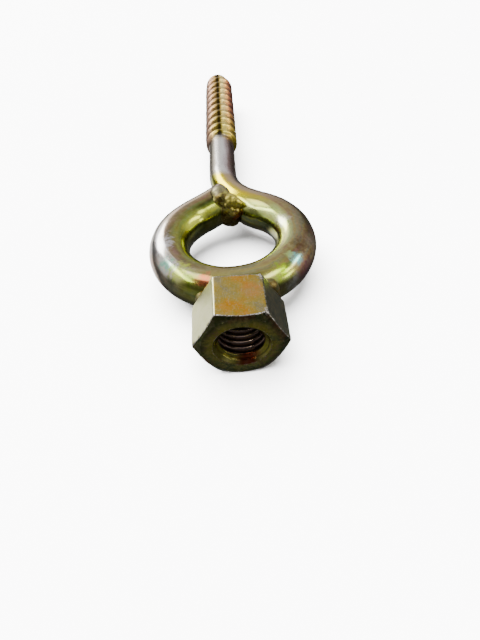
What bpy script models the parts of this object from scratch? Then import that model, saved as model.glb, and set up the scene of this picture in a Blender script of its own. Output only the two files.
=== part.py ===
"""Screw-in eye bolt with a hexagon nut welded to the bottom of its eye.

The bolt is one bent steel bar: a coarse rolled screw thread, a thinner plain
shank, a neck that swings to one side, and a round eye whose free end comes
back up against the neck. The nut stands on the outside of the eye, in line
with the shank, with its threaded mouth facing away from the screw.

Lengths are in metres. +Y runs along the bolt towards its screw tip, the eye
lies in the XY plane, and the frame's origin is the middle of the whole length.
"""

import math

import bmesh
import bpy
from mathutils import Vector

MM = 0.001

# ---- Driving dimensions -------------------------------------------------
BAR_D = 10.8 * MM            # bar round the eye
EYE_BORE = 23.0 * MM         # clear width inside the eye
SHANK_D = 8.6 * MM           # plain shank
THREAD_D = 10.7 * MM         # over the screw thread's crests
THREAD_ROOT_D = 8.1 * MM     # in the bottom of the screw thread
THREAD_PITCH = 5.4 * MM
THREAD_LENGTH = 58.6 * MM
THREAD_START = 51.7 * MM     # eye centre to the first turn
SHANK_OFFSET = -0.95 * MM     # shank axis beside the eye's centre line, at the top of the neck
SHANK_LEAN = math.radians(1.2)
NECK_TOP = 36.0 * MM         # eye centre to where the neck starts to bend
NECK_JOIN = math.radians(57.0)   # where the neck runs into the round of the eye
CLOSE_ANGLE = math.radians(119.0)  # where the free end leaves the round of the eye
CLOSE_LENGTH = 8.8 * MM      # straight length of the free end
CLOSE_RISE = 1.8 * MM        # how far the free end rides up out of the eye's plane
CLOSE_RISE_LENGTH = 14.0 * MM  # length of bar over which it rises
TIP_ROUND = 1.8 * MM         # rounding at the screw's blunt tip

NUT_AF = 19.0 * MM           # across flats
NUT_LENGTH = 12.5 * MM
NUT_ROLL = math.radians(2.7)
NUT_FACE_RATIO = 0.95        # chamfer circle over the width across flats
NUT_CHAMFER = math.radians(30.0)
NUT_THREAD_D = 12.0 * MM     # M12 coarse
NUT_THREAD_PITCH = 1.75 * MM
COUNTERSINK_D = 12.7 * MM
ISO_DEPTH = 0.5413           # depth of a metric thread over its pitch

CLEARANCE = 0.3 * MM         # between pieces that touch

WELD_SIZE = (3.2 * MM, 2.6 * MM, 4.8 * MM)      # half sizes of the weld that closes the eye
WELD_CAP_SIZE = (3.1 * MM, 2.7 * MM, 2.1 * MM)  # and of the lump it ends in, on the upper side
FILLET_SIZE = (3.1 * MM, 2.2 * MM, 4.8 * MM)    # half sizes of a nut weld
FILLET_SETBACK = 1.0 * MM    # from the nut's end face to a fillet's middle
FILLET_REACH = 0.44          # a fillet's distance from the bolt's axis over the width across flats
WELD_RAISE = 0.15            # how far the eye's weld sits above its corner, over its half height

BAR_SIDES = 24
BORE_SIDES = 24
EYE_STEP = math.radians(7.5)
ROWS_PER_TURN = 8
BORE_ROWS_PER_TURN = 6
NECK_STEPS = 14
CUTTER_SPARE = 1.0 * MM      # how far a cutter runs past what it cuts

# ---- Sizes that follow ---------------------------------------------------
BAR_R = BAR_D / 2
EYE_R = EYE_BORE / 2 + BAR_R
THREAD_END = THREAD_START + THREAD_LENGTH
NUT_FAR_Y = -(EYE_R + BAR_R + CLEARANCE)
NUT_NEAR_Y = NUT_FAR_Y - NUT_LENGTH
NUT_MINOR_R = NUT_THREAD_D / 2 - ISO_DEPTH * NUT_THREAD_PITCH
EYE_CENTRE_Y = -(THREAD_END + NUT_NEAR_Y) / 2


def smooth_step(value):
    """Ease from 0 to 1 as value goes from 0 to 1, flat outside."""
    t = min(max(value, 0.0), 1.0)
    return t * t * (3.0 - 2.0 * t)


def ridge(turns, crest=0.36, flank=0.22):
    """Height, 0 to 1, of a screw ridge at a phase counted in turns."""
    off_crest = abs((turns % 1.0) - 0.5)
    return smooth_step((crest / 2 + flank - off_crest) / flank)


# ---- The bar's path ------------------------------------------------------
def shank_direction():
    return Vector((math.sin(SHANK_LEAN), math.cos(SHANK_LEAN), 0.0))


def shank_point(y):
    """Point on the shank's axis at a height above the eye's centre."""
    return Vector((SHANK_OFFSET + (y - NECK_TOP) * math.tan(SHANK_LEAN), y, 0.0))


def eye_point(angle):
    return Vector((EYE_R * math.cos(angle), EYE_R * math.sin(angle), 0.0))


def eye_tangent(angle):
    """Direction of travel round the eye, clockwise seen from +Z."""
    return Vector((math.sin(angle), -math.cos(angle), 0.0))


def neck_point(t):
    """Point and direction along the neck, from the shank (t = 0) to the eye (t = 1)."""
    start, end = shank_point(NECK_TOP), eye_point(NECK_JOIN)
    reach = (end - start).length
    leave, arrive = -shank_direction() * reach, eye_tangent(NECK_JOIN) * reach
    point = (start * (2 * t**3 - 3 * t**2 + 1) + leave * (t**3 - 2 * t**2 + t)
             + end * (3 * t**2 - 2 * t**3) + arrive * (t**3 - t**2))
    slope = (start * (6 * t**2 - 6 * t) + leave * (3 * t**2 - 4 * t + 1)
             + end * (6 * t - 6 * t**2) + arrive * (3 * t**2 - 2 * t))
    return point, slope.normalized()


def neck_radius(t):
    """The shank swells to the full bar on its way into the eye."""
    return SHANK_D / 2 + (BAR_R - SHANK_D / 2) * smooth_step((t - 0.3) / 0.7)


def neck_stations(grow=0.0):
    """Stations (point, direction, radius) along the neck."""
    found = []
    for step in range(NECK_STEPS + 1):
        t = step / NECK_STEPS
        found.append((*neck_point(t), neck_radius(t) + grow))
    return found


def rise(to_end):
    """Height of the bar's middle over the eye's plane, at a length before its free end."""
    share = max(1.0 - to_end / CLOSE_RISE_LENGTH, 0.0)
    return Vector((0.0, 0.0, CLOSE_RISE * share**2))


def eye_stations(grow=0.0, end=CLOSE_ANGLE - 2 * math.pi):
    """Stations round the eye, clockwise from the neck towards the free end."""
    count = math.ceil((NECK_JOIN - end) / EYE_STEP)
    found = []
    for k in range(count + 1):
        angle = NECK_JOIN + (end - NECK_JOIN) * k / count
        to_end = CLOSE_LENGTH + EYE_R * (angle - CLOSE_ANGLE + 2 * math.pi)
        found.append((eye_point(angle) + rise(to_end), eye_tangent(angle), BAR_R + grow))
    return found


def free_end_point(length):
    """Middle of the bar at a length along the straight free end."""
    return eye_point(CLOSE_ANGLE) + eye_tangent(CLOSE_ANGLE) * length + rise(CLOSE_LENGTH - length)


# ---- Mesh helpers --------------------------------------------------------
def section(point, direction, radius_at, sides=BAR_SIDES):
    """Ring of points round a path in the XY plane."""
    side = Vector((direction.y, -direction.x, 0.0))
    up = Vector((0.0, 0.0, 1.0))
    ring = []
    for k in range(sides):
        angle = 2 * math.pi * k / sides
        radius = radius_at(angle) if callable(radius_at) else radius_at
        ring.append(point + (side * math.sin(angle) + up * math.cos(angle)) * radius)
    return ring


def skin(name, rings, start_centre, end_centre):
    """Closed mesh through rings of points, with a fan over each end."""
    mesh = bmesh.new()
    rows = [[mesh.verts.new(p) for p in ring] for ring in rings]
    for near, far in zip(rows, rows[1:]):
        for k in range(len(near)):
            nxt = (k + 1) % len(near)
            mesh.faces.new((near[k], near[nxt], far[nxt], far[k]))
    for row, centre in ((rows[0], start_centre), (rows[-1], end_centre)):
        hub = mesh.verts.new(centre)
        for k in range(len(row)):
            mesh.faces.new((row[k], row[(k + 1) % len(row)], hub))
    bmesh.ops.recalc_face_normals(mesh, faces=mesh.faces)
    data = bpy.data.meshes.new(name)
    mesh.to_mesh(data)
    mesh.free()
    return data


def steel(name, colour, roughness):
    """Principled material of a plated steel."""
    material = bpy.data.materials.new(name)
    material.use_nodes = True
    shader = material.node_tree.nodes["Principled BSDF"]
    shader.inputs["Base Color"].default_value = (*colour, 1.0)
    shader.inputs["Metallic"].default_value = 1.0
    shader.inputs["Roughness"].default_value = roughness
    return material


def add_object(name, data, parent, smooth_angle=40.0):
    """Link a mesh as an object that hangs on an empty."""
    thing = bpy.data.objects.new(name, data)
    bpy.context.collection.objects.link(thing)
    thing.parent = parent
    data.shade_smooth()
    data.set_sharp_from_angle(angle=math.radians(smooth_angle))
    return thing


def hide_cutter(thing):
    thing.hide_render = True
    thing.display_type = "WIRE"
    return thing


def cut(thing, cutter, operation="DIFFERENCE"):
    """Add an exact Boolean to an object."""
    modifier = thing.modifiers.new(operation.title(), "BOOLEAN")
    modifier.operation = operation
    modifier.solver = "EXACT"
    modifier.object = cutter


# ---- The eye bar ---------------------------------------------------------
def thread_radius(y, angle):
    """Radius of the screw at a height and an angle about its axis."""
    edge = 0.6 * THREAD_PITCH
    into = smooth_step((y - THREAD_START) / edge)
    outof = smooth_step((THREAD_END - y) / edge)
    root = SHANK_D / 2 + (THREAD_ROOT_D - SHANK_D) / 2 * into
    depth = (THREAD_D - THREAD_ROOT_D) / 2 * into * (0.55 + 0.45 * outof)
    radius = root + depth * ridge(y / THREAD_PITCH - angle / (2 * math.pi))
    over = (y - (THREAD_END - TIP_ROUND)) / TIP_ROUND
    if over > 0:
        radius -= TIP_ROUND * (1 - math.sqrt(1 - min(over, 1.0) ** 2))
    return radius


def screw_rings():
    """Rings from the screw's tip down to the top of the neck."""
    row = THREAD_PITCH / ROWS_PER_TURN
    heights = [THREAD_END - TIP_ROUND * f for f in (0.0, 0.12, 0.4, 1.0)]
    count = math.ceil((heights[-1] - THREAD_START) / row)
    heights += [heights[-1] - (heights[-1] - THREAD_START) * k / count for k in range(1, count + 1)]
    axis = -shank_direction()
    rings = []
    for y in heights:
        # The path runs down the shank, so its sideways angle turns the other way.
        rings.append(section(shank_point(y), axis, lambda a, y=y: thread_radius(y, -a)))
    rings.append(section(shank_point((THREAD_START + NECK_TOP) / 2), axis, SHANK_D / 2))
    return rings


def neck_side_stations():
    """Stations of the bar that the free end comes up against."""
    return neck_stations() + eye_stations(end=0.0)[1:]


def distance_to_bar(point, stations):
    """Clear distance from a point to the surface of a stretch of bar."""
    best = math.inf
    for (a, _, radius_a), (b, _, radius_b) in zip(stations, stations[1:]):
        span = b - a
        t = min(max((point - a).dot(span) / span.length_squared, 0.0), 1.0)
        gap = (point - (a + span * t)).length - (radius_a + (radius_b - radius_a) * t)
        best = min(best, gap)
    return best


def free_end_ring(radius, share=1.0, steps=60):
    """Points round the free end, at a share of the way to its end face or to the neck."""
    stations = neck_side_stations()
    start = free_end_point(0.0)
    ring = []
    for point in section(start, eye_tangent(CLOSE_ANGLE), radius):
        free = [free_end_point(CLOSE_LENGTH * k / steps) + point - start for k in range(steps + 1)]
        clear = 0
        while clear < steps and distance_to_bar(free[clear + 1], stations) >= CLEARANCE:
            clear += 1
        ring.append(free_end_point(CLOSE_LENGTH * clear / steps * share) + point - start)
    return ring


def make_eye_bar(parent):
    rings = screw_rings()
    rings += [section(*station) for station in neck_stations()]
    rings += [section(*station) for station in eye_stations()[1:]]
    rings += [free_end_ring(BAR_R, share) for share in (0.25, 0.5, 0.75, 1.0)]
    rings += [free_end_ring(BAR_R * inner) for inner in (0.72, 0.4)]
    hub = sum(rings[-1], Vector()) / BAR_SIDES
    data = skin("eye_bar", rings, shank_point(THREAD_END), hub)
    bar = add_object("eye_bar", data, parent)
    data.materials.append(steel("bar_plating", (0.62, 0.52, 0.26), 0.32))
    return bar


# ---- The nut -------------------------------------------------------------
def nut_bore_radius(y, angle):
    """Radius of the threaded bore: countersunk at its mouth."""
    depth = NUT_THREAD_D / 2 - NUT_MINOR_R
    groove = 1 - ridge(y / NUT_THREAD_PITCH - angle / (2 * math.pi), crest=0.22, flank=0.34)
    sink = COUNTERSINK_D / 2 - (y - NUT_NEAR_Y)
    return max(NUT_MINOR_R + depth * groove, sink)


def make_nut(parent):
    """Hexagon with chamfered corners at its mouth, and a threaded bore."""
    corner = NUT_AF / 2 / math.cos(math.pi / 6)
    axis = Vector((0.0, 1.0, 0.0))
    ends = [Vector((0.0, y, 0.0)) for y in (NUT_NEAR_Y, NUT_FAR_Y)]
    hexagon = [section(p, axis, corner, sides=6) for p in ends]
    nut = add_object("hex_nut", skin("hex_nut", hexagon, *ends), parent, smooth_angle=30.0)
    turn = math.pi / 6 + NUT_ROLL
    for vertex in nut.data.vertices:
        x, z = vertex.co.x, vertex.co.z
        vertex.co.x = x * math.cos(turn) + z * math.sin(turn)
        vertex.co.z = z * math.cos(turn) - x * math.sin(turn)

    face = NUT_AF / 2 * NUT_FACE_RATIO
    slope = math.tan(NUT_CHAMFER)
    wide = corner + CUTTER_SPARE
    turned = ((NUT_NEAR_Y - CUTTER_SPARE, face - CUTTER_SPARE / slope), (NUT_NEAR_Y, face),
              (NUT_NEAR_Y + (wide - face) * slope, wide), (NUT_FAR_Y + CUTTER_SPARE, wide))
    rings = [section(Vector((0.0, y, 0.0)), axis, r, sides=2 * BORE_SIDES) for y, r in turned]
    blank = skin("nut_chamfer", rings, axis * turned[0][0], axis * turned[-1][0])
    cut(nut, hide_cutter(add_object("nut_chamfer", blank, parent)), "INTERSECT")

    length = NUT_LENGTH + 2 * CUTTER_SPARE
    count = math.ceil(length / NUT_THREAD_PITCH * BORE_ROWS_PER_TURN)
    heights = [NUT_NEAR_Y - CUTTER_SPARE + length * k / count for k in range(count + 1)]
    rings = [section(Vector((0.0, y, 0.0)), axis, lambda a, y=y: nut_bore_radius(y, a), BORE_SIDES)
             for y in heights]
    bore = skin("nut_bore", rings, axis * heights[0], axis * heights[-1])
    cut(nut, hide_cutter(add_object("nut_bore", bore, parent)))
    nut.data.materials.append(steel("nut_plating", (0.55, 0.47, 0.24), 0.38))
    return nut


# ---- The welds -----------------------------------------------------------
def blob(name, centre, radii, parent):
    """Rounded lump of weld metal."""
    mesh = bmesh.new()
    bmesh.ops.create_icosphere(mesh, subdivisions=3, radius=1.0)
    for vertex in mesh.verts:
        vertex.co = Vector(centre) + Vector(c * r for c, r in zip(vertex.co, radii))
    data = bpy.data.meshes.new(name)
    mesh.to_mesh(data)
    mesh.free()
    return add_object(name, data, parent)


def make_clearances(parent):
    """Hidden solids of the bar and the nut, grown by the clearance."""
    neck = neck_stations(grow=CLEARANCE)
    eye = eye_stations(grow=CLEARANCE)
    rings = [section(*station) for station in neck + eye[1:]]
    data = skin("bar_clearance", rings, neck[0][0], eye[-1][0])
    bar = hide_cutter(add_object("bar_clearance", data, parent))
    lengths = [-0.2 * BAR_R, CLOSE_LENGTH * 0.4, CLOSE_LENGTH * 0.8, CLOSE_LENGTH + CLEARANCE]
    path = [free_end_point(length) for length in lengths]
    rings = [section(p, eye_tangent(CLOSE_ANGLE), BAR_R + CLEARANCE) for p in path]
    data = skin("end_clearance", rings, path[0], path[-1])
    end = hide_cutter(add_object("end_clearance", data, parent))
    return bar, end


def closing_corner(steps=60):
    """Point in the eye's plane where the inside of the free end meets the neck."""
    inward = -eye_point(CLOSE_ANGLE).normalized() * BAR_R
    stations = neck_side_stations()
    for step in range(steps):
        point = free_end_point(CLOSE_LENGTH * step / steps) + inward
        point.z = 0.0
        if distance_to_bar(point, stations) < CLEARANCE:
            break
    return point


def make_eye_weld(parent, clearances):
    """Weld metal in the corner between the free end and the neck."""
    corner = closing_corner()
    body = corner + Vector((0.0, WELD_SIZE[1] * WELD_RAISE, 0.0))
    cap = body + Vector((0.0, 0.0, BAR_R - 0.2 * WELD_SIZE[2]))
    weld = blob("eye_closure_weld", body, WELD_SIZE, parent)
    cut(weld, hide_cutter(blob("weld_cap", cap, WELD_CAP_SIZE, parent)), "UNION")
    for clearance in clearances:
        cut(weld, clearance)
    weld.data.materials.append(steel("weld_metal", (0.50, 0.43, 0.22), 0.45))


def make_nut_welds(parent, bar_clearance):
    """A fillet on each side, between the nut's end face and the eye."""
    nut_end = NUT_FAR_Y + CLEARANCE
    ends = [Vector((0.0, y, 0.0)) for y in (nut_end - NUT_LENGTH, nut_end)]
    rings = [section(p, Vector((0.0, 1.0, 0.0)), NUT_AF) for p in ends]
    stop = hide_cutter(add_object("nut_clearance", skin("nut_clearance", rings, *ends), parent))
    for name, side in (("nut_weld_left", -1), ("nut_weld_right", 1)):
        centre = (side * FILLET_REACH * NUT_AF, nut_end + FILLET_SETBACK, 0.0)
        fillet = blob(name, centre, FILLET_SIZE, parent)
        cut(fillet, bar_clearance)
        cut(fillet, stop)
        fillet.data.materials.append(steel(name + "_metal", (0.52, 0.44, 0.25), 0.45))


def clear_scene():
    for thing in list(bpy.data.objects):
        bpy.data.objects.remove(thing, do_unlink=True)


def main():
    clear_scene()
    eye_centre = bpy.data.objects.new("eye_centre", None)
    bpy.context.collection.objects.link(eye_centre)
    eye_centre.location = (0.0, EYE_CENTRE_Y, 0.0)
    make_eye_bar(eye_centre)
    make_nut(eye_centre)
    clearances = make_clearances(eye_centre)
    make_eye_weld(eye_centre, clearances)
    make_nut_welds(eye_centre, clearances[0])


main()
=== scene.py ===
"""Looks of a screw-in eye bolt with a hexagon nut welded to the outside of its eye.

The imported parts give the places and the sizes; every visible piece here is a
finer version of one of them: the bent and threaded bar, the tapped nut, the
weld that closes the eye and the two welds that hold the nut. Lengths are in
metres, +Y runs towards the screw's tip and the eye lies in the XY plane.
"""

import logging
import math
from abc import ABC, abstractmethod
from collections.abc import Callable, Sequence
from dataclasses import dataclass, field
from enum import Enum
from typing import Any

import bmesh
import bpy
import numpy as np
from mathutils import Matrix, Vector, noise


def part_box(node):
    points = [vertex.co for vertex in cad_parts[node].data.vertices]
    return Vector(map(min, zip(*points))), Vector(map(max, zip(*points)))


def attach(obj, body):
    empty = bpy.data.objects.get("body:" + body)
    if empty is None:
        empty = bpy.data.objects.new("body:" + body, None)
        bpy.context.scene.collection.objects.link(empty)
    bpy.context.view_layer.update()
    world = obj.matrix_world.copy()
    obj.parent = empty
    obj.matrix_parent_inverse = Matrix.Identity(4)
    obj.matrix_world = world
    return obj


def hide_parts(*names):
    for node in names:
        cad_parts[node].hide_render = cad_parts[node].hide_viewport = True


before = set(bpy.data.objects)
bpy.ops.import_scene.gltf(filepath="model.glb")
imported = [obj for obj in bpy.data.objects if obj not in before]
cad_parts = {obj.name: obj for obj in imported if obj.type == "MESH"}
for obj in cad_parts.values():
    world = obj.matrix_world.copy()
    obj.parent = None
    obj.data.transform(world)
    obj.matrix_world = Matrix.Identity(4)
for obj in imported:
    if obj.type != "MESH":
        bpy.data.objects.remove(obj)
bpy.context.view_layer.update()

LOG = logging.getLogger("eye_bolt")
MM = 0.001
TURN = 2.0 * math.pi
UP = np.array((0.0, 0.0, 1.0))
Array = np.ndarray
Colour = tuple[float, float, float, float]
Point = tuple[float, float, float]
Stops = tuple[tuple[float, str], ...]
FAR_OFF: Point = (0.0, -1.0, 0.0)


# ---- Small sums ----------------------------------------------------------
def smooth_step(value: Array | float) -> Array | float:
    """Ease from 0 to 1 as value goes from 0 to 1, flat outside."""
    t = np.clip(value, 0.0, 1.0)
    return t * t * (3.0 - 2.0 * t)


def paint(code: str) -> Colour:
    """Linear colour for a six-figure colour code.

    Args:
        code: Red, green and blue, each as two hexadecimal figures.

    Returns:
        The linear colour with full alpha.
    """
    shares = [int(code[k:k + 2], 16) / 255 for k in (0, 2, 4)]
    linear = [s / 12.92 if s <= 0.04045 else ((s + 0.055) / 1.055) ** 2.4 for s in shares]
    return (*linear, 1.0)


def unit(vector: Array) -> Array:
    """The vector, or each row of vectors, at length one."""
    return vector / np.linalg.norm(vector, axis=-1, keepdims=True)


def bearing(azimuth: float, elevation: float) -> Vector:
    """Direction at an azimuth from +Y towards +X and a height over the floor, in degrees."""
    a, e = math.radians(azimuth), math.radians(elevation)
    return Vector((math.sin(a) * math.cos(e), math.cos(a) * math.cos(e), math.sin(e)))


# ---- Node writing --------------------------------------------------------
def operator(operation: str, swapped: bool = False) -> Callable[["Signal", "Signal | float"], "Signal"]:
    """Method that puts a Math node on the two sides of an arithmetic operator.

    Args:
        operation: The Math node's operation.
        swapped: Whether the other value stands first.

    Returns:
        The method.
    """
    def method(self: "Signal", other: "Signal | float") -> "Signal":
        """One Math node for the two sides."""
        sides = (other, self) if swapped else (self, other)
        return self.tree.add("ShaderNodeMath", {"operation": operation}, dict(enumerate(sides)))
    return method


class Signal:
    """An output socket that takes part in arithmetic."""

    __add__, __radd__ = operator("ADD"), operator("ADD", swapped=True)
    __sub__, __rsub__ = operator("SUBTRACT"), operator("SUBTRACT", swapped=True)
    __mul__, __rmul__ = operator("MULTIPLY"), operator("MULTIPLY", swapped=True)
    __truediv__ = operator("DIVIDE")

    def __init__(self, tree: "Tree", socket: bpy.types.NodeSocket) -> None:
        """Wrap a socket of a tree."""
        self.tree = tree
        self.socket = socket

    def __abs__(self) -> "Signal":
        """Size without sign."""
        return self.call("ABSOLUTE")

    def call(self, operation: str, *others: "Signal | float") -> "Signal":
        """Any other Math operation, with this value first."""
        return self.tree.add("ShaderNodeMath", {"operation": operation}, dict(enumerate((self, *others))))

    def output(self, name: str) -> "Signal":
        """Another output of the same node."""
        return Signal(self.tree, self.socket.node.outputs[name])


class Tree:
    """A node tree that is written with one node maker."""

    def __init__(self, group: bpy.types.NodeTree) -> None:
        """Wrap an empty node tree."""
        self.group = group

    def add(self, kind: str, settings: dict[str, Any] | None = None,
            values: dict[int | str, Any] | None = None, output: int | str = 0) -> Signal:
        """Make a node.

        Args:
            kind: The node's type.
            settings: What is set on the node first; "stops" fills a colour ramp.
            values: A number, colour or Signal for each socket.
            output: Which output to return.

        Returns:
            The chosen output.
        """
        node = self.group.nodes.new(kind)
        for name, setting in (settings or {}).items():
            if name == "stops":
                points = node.color_ramp.elements
                while len(points) < len(setting):
                    points.new(0.5)
                for point, (place, colour) in zip(points, setting):
                    point.position, point.color = place, colour
            else:
                setattr(node, name, setting)
        for key, value in (values or {}).items():
            if isinstance(value, Signal):
                self.group.links.new(value.socket, node.inputs[key])
            else:
                node.inputs[key].default_value = value
        return Signal(self, node.outputs[output]) if len(node.outputs) else Signal(self, node.inputs[0])

    def axes(self, vector: Signal) -> tuple[Signal, Signal, Signal]:
        """The three parts of a vector."""
        x = self.add("ShaderNodeSeparateXYZ", values={0: vector})
        return x, x.output("Y"), x.output("Z")

    def vector(self, operation: str, *values: Any, output: int | str = 0) -> Signal:
        """A Vector Math node on the given values."""
        return self.add("ShaderNodeVectorMath", {"operation": operation}, dict(enumerate(values)), output)

    def scaled(self, vector: Signal, size: Signal | float) -> Signal:
        """A vector times a number."""
        return self.add("ShaderNodeVectorMath", {"operation": "SCALE"}, {0: vector, "Scale": size})

    def between(self, value: Signal, low: float | Signal, high: float | Signal,
                start: float = 0.0, end: float = 1.0) -> Signal:
        """Ease from start to end while a value goes from low to high."""
        return self.add("ShaderNodeMapRange", {"interpolation_type": "SMOOTHSTEP"},
                        {0: value, 1: low, 2: high, 3: start, 4: end})

    def edge(self, value: Signal, start: float, end: float,
             uneven: Signal | None = None, ragged: float = 0.0) -> Signal:
        """Ease from 0 to 1 over a stretch of a length.

        Args:
            value: The length, in metres.
            start: Where the share is 0, in millimetres.
            end: Where the share is 1, in millimetres.
            uneven: Noise that roughens the edge.
            ragged: How far it moves the edge, in millimetres.

        Returns:
            The share.
        """
        if uneven is not None:
            value = value + (uneven - 0.5) * (ragged * MM)
        return self.between(value, start * MM, end * MM)

    def near(self, spot: Signal, place: Sequence[float], far: float, close: float,
             uneven: Signal | None = None, ragged: float = 0.0) -> Signal:
        """Edge by the distance to a place: 0 beyond far, 1 nearer than close."""
        away = self.vector("DISTANCE", spot, place, output="Value")
        return self.edge(away, far, close, uneven, ragged)

    def ramp(self, value: Signal, stops: Stops) -> Signal:
        """Colour ramp whose stops are given as places and colour codes."""
        points = [(place, paint(code)) for place, code in stops]
        return self.add("ShaderNodeValToRGB", {"stops": points}, {0: value})

    def mix(self, share: Signal | float, one: Any, two: Any) -> Signal:
        """Mix two colours, each a Signal or a colour code."""
        first, second = (paint(c) if isinstance(c, str) else c for c in (one, two))
        return self.add("ShaderNodeMix", {"data_type": "RGBA"}, {0: share, 6: first, 7: second}, output=2)

    def layers(self, colour: Signal, *coats: tuple[Signal | float, Any]) -> Signal:
        """Lay coats over a colour in turn, each with its share.

        Args:
            colour: What lies underneath.
            coats: Share and colour of each coat, the lowest first.

        Returns:
            The colour on top.
        """
        for share, coat in coats:
            colour = self.mix(share, colour, coat)
        return colour

    def noise(self, vector: Signal, scale: float, detail: float = 3.0, rough: float = 0.5,
              distortion: float = 0.0) -> Signal:
        """Smooth noise with features of about 1 / scale metres.

        Args:
            vector: Where the noise is read.
            scale: Features per metre, about.
            detail: Finer layers added.
            rough: Strength of the finer layers.
            distortion: How far the noise is warped.

        Returns:
            The noise, from 0 to 1.
        """
        return self.add("ShaderNodeTexNoise", {"noise_dimensions": "3D"},
                        {"Vector": vector, "Scale": scale, "Detail": detail, "Roughness": rough,
                         "Distortion": distortion})

    def attribute(self, name: str, output: str = "Vector") -> Signal:
        """A named attribute of the mesh."""
        return self.add("ShaderNodeAttribute", {"attribute_name": name}, output=output)


def new_material(name: str) -> tuple[bpy.types.Material, Tree, bpy.types.Node]:
    """A new material, its tree and its shader node.

    Args:
        name: The material's name.

    Returns:
        The three, in that order.
    """
    material = bpy.data.materials.new(name)
    material.use_nodes = True
    return material, Tree(material.node_tree), material.node_tree.nodes["Principled BSDF"]


# ---- Mesh writing --------------------------------------------------------
def linked(name: str, data: bpy.types.ID) -> bpy.types.Object:
    """A new object in the scene.

    Args:
        name: The object's name.
        data: Its mesh, light or camera.

    Returns:
        The object.
    """
    thing = bpy.data.objects.new(name, data)
    bpy.context.scene.collection.objects.link(thing)
    return thing


def settled(carrier: bpy.types.Object) -> bpy.types.Mesh:
    """The mesh that an object's modifiers make; the object goes with its modifiers.

    Args:
        carrier: The object that has the modifiers.

    Returns:
        The plain mesh.
    """
    mesh = bpy.data.meshes.new_from_object(carrier.evaluated_get(bpy.context.evaluated_depsgraph_get()))
    carrier.modifiers.clear()
    bpy.data.objects.remove(carrier)
    return mesh


def mark(mesh: bpy.types.Mesh, label: str, values: Array) -> None:
    """Store a number or a vector for every point of a mesh under a name."""
    kind, key = ("FLOAT_VECTOR", "vector") if values.ndim == 2 else ("FLOAT", "value")
    mesh.attributes.new(label, kind, "POINT").data.foreach_set(key, values.astype(np.float32).ravel())


def grid_mesh(name: str, rows: Array, marks: dict[str, Array],
              hubs: tuple[Array, Array] | None = None) -> bpy.types.Mesh:
    """Closed smooth mesh through rings of points.

    Args:
        name: The mesh's name.
        rows: Points, as rings by points round a ring by three.
        marks: Point attributes, as rings by points, or by three as well.
        hubs: End points that close a tube; without them the last ring joins the first.

    Returns:
        The mesh, with its faces pointing outwards.
    """
    count, sides = rows.shape[:2]
    points = rows.reshape(-1, 3)
    index = np.arange(count * sides).reshape(count, sides)
    nxt = np.roll(index, -1, axis=1)
    near, far = (slice(0, -1), slice(1, None))
    if hubs is None:
        a, b, c, d = index, nxt, np.roll(nxt, -1, axis=0), np.roll(index, -1, axis=0)
    else:
        a, b, c, d = index[near], nxt[near], nxt[far], index[far]
    faces = np.stack([a, b, c, d], axis=-1).reshape(-1, 4).tolist()
    if hubs is not None:
        first = len(points)
        points = np.vstack([points, hubs[0], hubs[1]])
        faces += [(int(q), int(p), first) for p, q in zip(index[0], nxt[0])]
        faces += [(int(p), int(q), first + 1) for p, q in zip(index[-1], nxt[-1])]
    mesh = bpy.data.meshes.new(name)
    mesh.from_pydata(points.tolist(), [], faces)
    for label, values in marks.items():
        flat = values.reshape(count * sides, *values.shape[2:])
        if hubs is not None:
            flat = np.concatenate([flat, [flat[:sides].mean(0), flat[-sides:].mean(0)]])
        mark(mesh, label, flat)
    shell = bmesh.new()
    shell.from_mesh(mesh)
    bmesh.ops.recalc_face_normals(shell, faces=shell.faces)
    shell.to_mesh(mesh)
    shell.free()
    mesh.shade_smooth()
    return mesh


def place_piece(name: str, mesh: bpy.types.Mesh, finish: bpy.types.Material,
                node: str) -> bpy.types.Object:
    """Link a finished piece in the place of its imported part.

    Args:
        name: The piece's name.
        mesh: Its mesh, already in place.
        finish: Its material.
        node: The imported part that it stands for.

    Returns:
        The piece.
    """
    mesh.materials.clear()
    mesh.materials.append(finish)
    piece = linked(name, mesh)
    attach(piece, "root")
    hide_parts(node)
    LOG.info("%s: %d faces", name, len(mesh.polygons))
    return piece


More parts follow.
